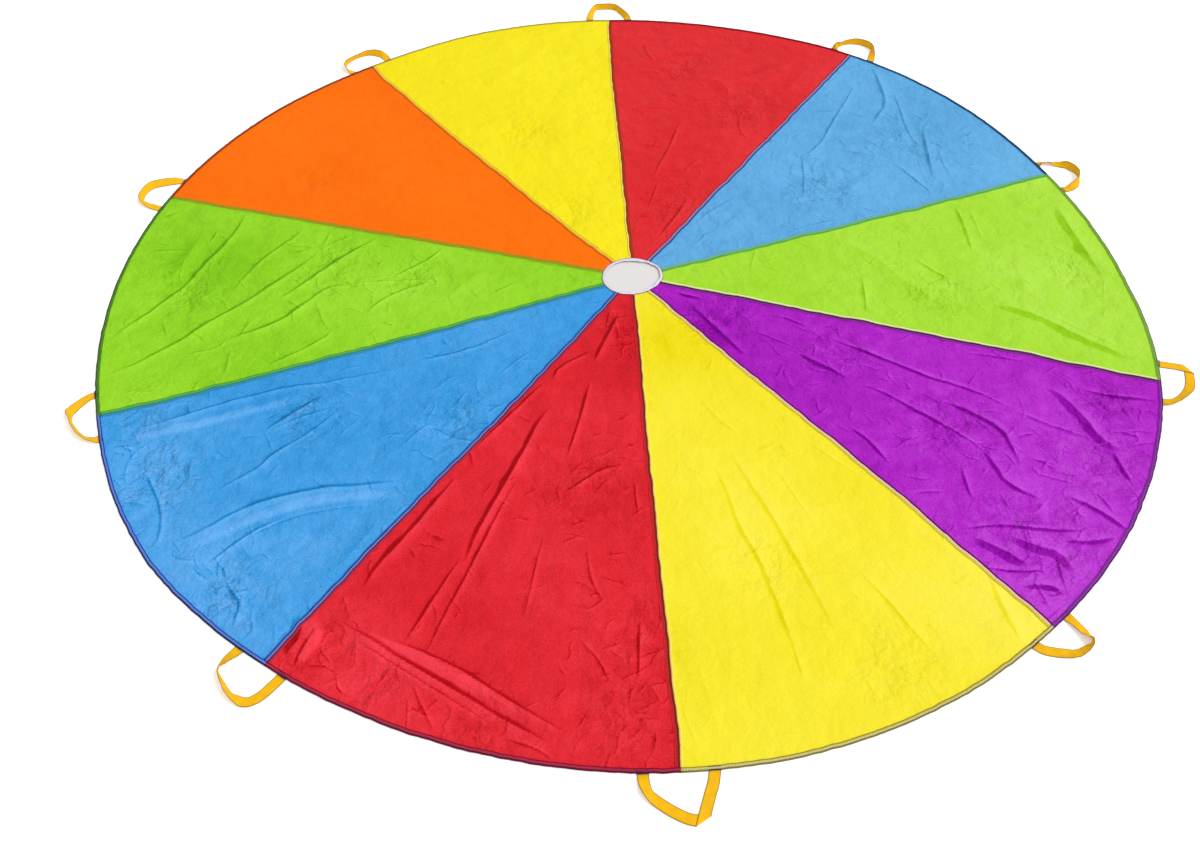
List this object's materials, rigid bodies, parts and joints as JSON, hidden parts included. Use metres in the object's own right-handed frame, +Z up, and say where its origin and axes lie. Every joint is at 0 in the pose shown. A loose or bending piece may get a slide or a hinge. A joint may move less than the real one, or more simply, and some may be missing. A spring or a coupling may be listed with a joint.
{
  "type": "play parachute",
  "caption": "Round play parachute of coloured cloth gores with a bound vent hole in the middle and webbing handles sewn under the rim, lying spread out on the floor.",
  "frame": {"origin": "on the floor, under the middle of the whole outline with the handles", "axes": "+Z up, +X to the right and +Y away from the handle at the front of the picture"},
  "size_m": [3.0872, 3.189, 0.025],
  "materials": {
    "cloth_red": "satin",
    "cloth_blue": "satin",
    "cloth_green": "satin",
    "cloth_purple": "satin",
    "cloth_yellow": "satin",
    "cloth_orange": "satin",
    "webbing": "matte",
    "vent_binding": "matte"
  },
  "bodies": {
    "near_half": {"gore_3_green_near": "cloth_green", "gore_4_purple": "cloth_purple", "gore_5_yellow": "cloth_yellow", "gore_6_red": "cloth_red", "gore_7_blue": "cloth_blue", "gore_8_green_near": "cloth_green", "handle_4_sewn_end_a": "webbing", "handle_4_sewn_end_b": "webbing", "handle_5_sewn_end_a": "webbing", "handle_5_sewn_end_b": "webbing", "handle_6_sewn_end_a": "webbing", "handle_6_sewn_end_b": "webbing", "handle_7_sewn_end_a": "webbing", "handle_7_sewn_end_b": "webbing", "handle_8_sewn_end_a": "webbing", "handle_8_sewn_end_b": "webbing", "seam_4": "cloth_green", "seam_5": "cloth_yellow", "seam_6": "cloth_red", "seam_7": "cloth_blue", "seam_8": "cloth_green", "vent_binding_near": "vent_binding"},
    "far_half": {"gore_10_yellow": "cloth_yellow", "gore_1_red": "cloth_red", "gore_2_blue": "cloth_blue", "gore_3_green_far": "cloth_green", "gore_8_green_far": "cloth_green", "gore_9_orange": "cloth_orange", "handle_10_sewn_end_a": "webbing", "handle_10_sewn_end_b": "webbing", "handle_1_sewn_end_a": "webbing", "handle_1_sewn_end_b": "webbing", "handle_2_sewn_end_a": "webbing", "handle_2_sewn_end_b": "webbing", "handle_3_sewn_end_a": "webbing", "handle_3_sewn_end_b": "webbing", "handle_9_sewn_end_a": "webbing", "handle_9_sewn_end_b": "webbing", "seam_1": "cloth_red", "seam_10": "cloth_yellow", "seam_2": "cloth_blue", "seam_3": "cloth_green", "seam_9": "cloth_green", "vent_binding_far": "vent_binding"},
    "handle_1_strap": {"handle_1": "webbing"},
    "handle_2_strap": {"handle_2": "webbing"},
    "handle_3_strap": {"handle_3": "webbing"},
    "handle_4_strap": {"handle_4": "webbing"},
    "handle_5_strap": {"handle_5": "webbing"},
    "handle_6_strap": {"handle_6": "webbing"},
    "handle_7_strap": {"handle_7": "webbing"},
    "handle_8_strap": {"handle_8": "webbing"},
    "handle_9_strap": {"handle_9": "webbing"},
    "handle_10_strap": {"handle_10": "webbing"}
  },
  "joints": [
    {"name": "middle_fold", "type": "hinge", "parent": "near_half", "child": "far_half", "pos_m": [0.02659, 0.02092, 0.0038], "axis": [0.9988, 0.0497, 0], "range_deg": [0, 150]},
    {"name": "handle_1_hinge", "type": "hinge", "parent": "far_half", "child": "handle_1_strap", "pos_m": [-0.03692, 1.50265, 0.0038], "axis": [0.9996, 0.0277, 0], "range_deg": [0, 135]},
    {"name": "handle_2_hinge", "type": "hinge", "parent": "far_half", "child": "handle_2_strap", "pos_m": [0.86147, 1.2543, 0.0038], "axis": [0.8243, -0.5662, 0], "range_deg": [0, 135]},
    {"name": "handle_3_hinge", "type": "hinge", "parent": "far_half", "child": "handle_3_strap", "pos_m": [1.3964, 0.52219, 0.0038], "axis": [0.3472, -0.9378, 0], "range_deg": [0, 135]},
    {"name": "handle_4_hinge", "type": "hinge", "parent": "near_half", "child": "handle_4_strap", "pos_m": [1.45177, -0.39737, 0.0038], "axis": [-0.2691, -0.9631, 0], "range_deg": [0, 135]},
    {"name": "handle_5_hinge", "type": "hinge", "parent": "near_half", "child": "handle_5_strap", "pos_m": [0.95143, -1.15428, 0.0038], "axis": [-0.775, -0.6319, 0], "range_deg": [0, 135]},
    {"name": "handle_6_hinge", "type": "hinge", "parent": "near_half", "child": "handle_6_strap", "pos_m": [0.09599, -1.4877, 0.0038], "axis": [-0.9981, -0.061, 0], "range_deg": [0, 135]},
    {"name": "handle_7_hinge", "type": "hinge", "parent": "near_half", "child": "handle_7_strap", "pos_m": [-0.80529, -1.24946, 0.0038], "axis": [-0.8405, 0.5418, 0], "range_deg": [0, 135]},
    {"name": "handle_8_hinge", "type": "hinge", "parent": "near_half", "child": "handle_8_strap", "pos_m": [-1.39522, -0.53049, 0.0038], "axis": [-0.3584, 0.9336, 0], "range_deg": [0, 135]},
    {"name": "handle_9_hinge", "type": "hinge", "parent": "far_half", "child": "handle_9_strap", "pos_m": [-1.44751, 0.39593, 0.0038], "axis": [0.2588, 0.9659, 0], "range_deg": [0, 135]},
    {"name": "handle_10_hinge", "type": "hinge", "parent": "far_half", "child": "handle_10_strap", "pos_m": [-0.91086, 1.17022, 0.0038], "axis": [0.7859, 0.6184, 0], "range_deg": [0, 135]}
  ]
}
